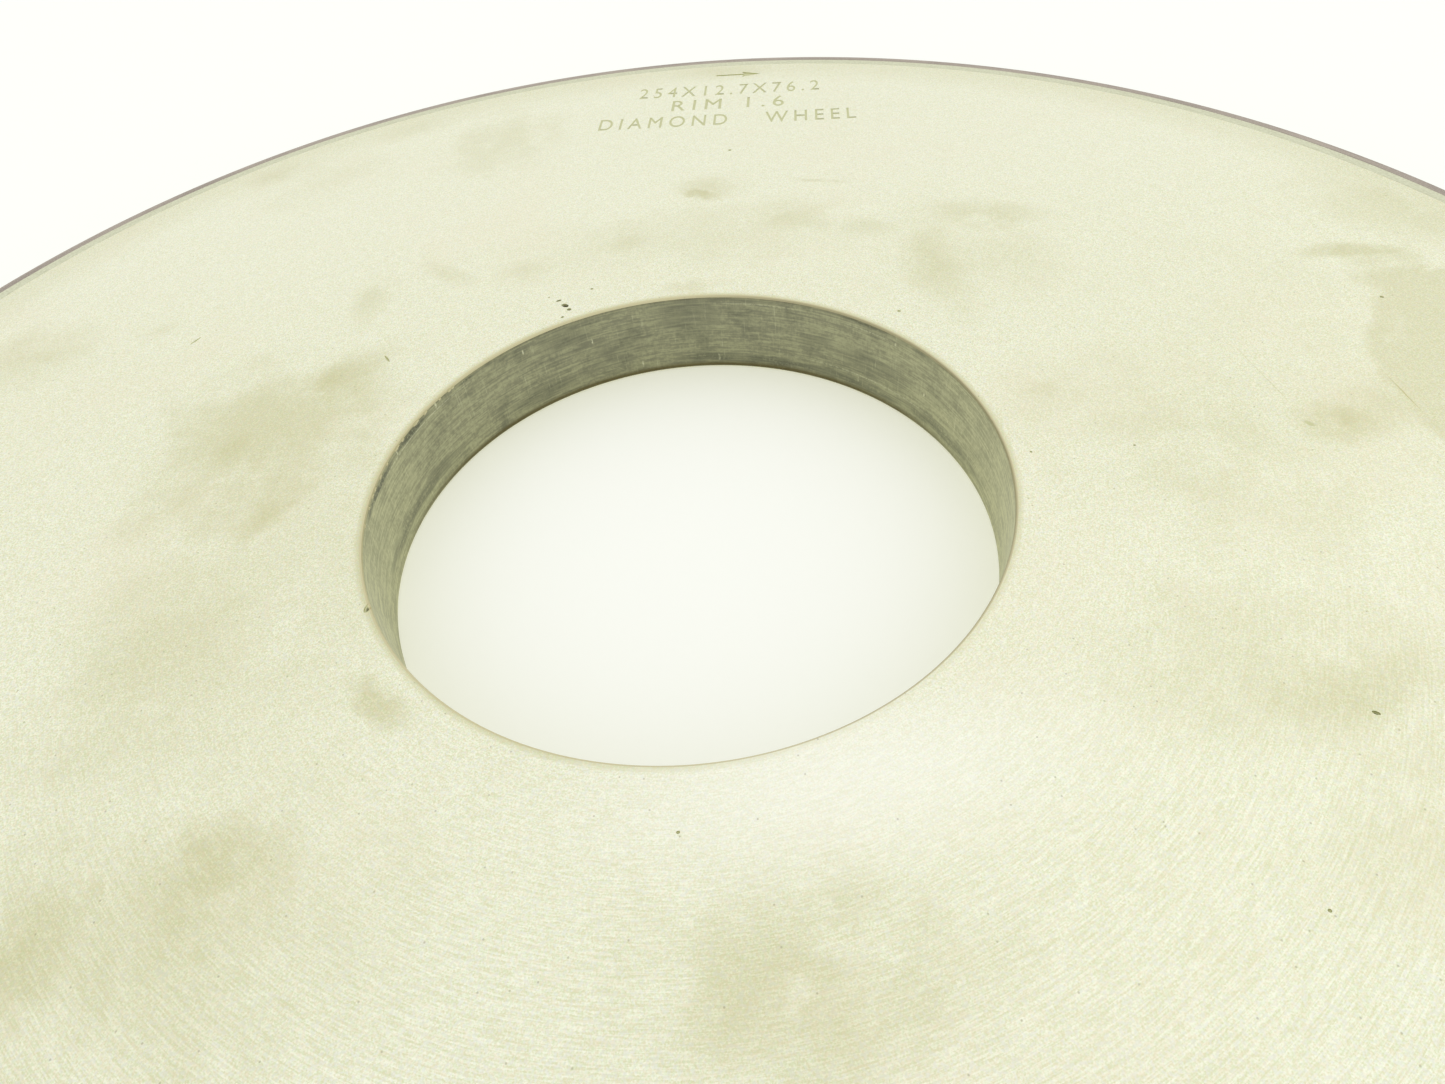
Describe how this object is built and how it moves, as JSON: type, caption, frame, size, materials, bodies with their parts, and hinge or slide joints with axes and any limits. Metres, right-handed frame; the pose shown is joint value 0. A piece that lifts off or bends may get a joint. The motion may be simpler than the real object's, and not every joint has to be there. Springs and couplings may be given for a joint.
{
  "type": "diamond grinding wheel",
  "caption": "Flat round grinding wheel with a plain central bore, an aluminium core and a thin resin-bond diamond rim round its edge, for grinding on its periphery.",
  "frame": {"origin": "centre of the bore in the wheel's back face, the one it lies on", "axes": "+Z along the axis of rotation, out of the marked front face; +X and +Y in the plane of the wheel, with the marking near +Y"},
  "size_m": [0.254, 0.254, 0.0127],
  "materials": {
    "core_metal": "satin",
    "backing_resin": "matte",
    "diamond_bond": "matte"
  },
  "bodies": {
    "root": {"core": "core_metal", "backing_ring": "backing_resin", "diamond_rim": "diamond_bond"}
  },
  "joints": []
}
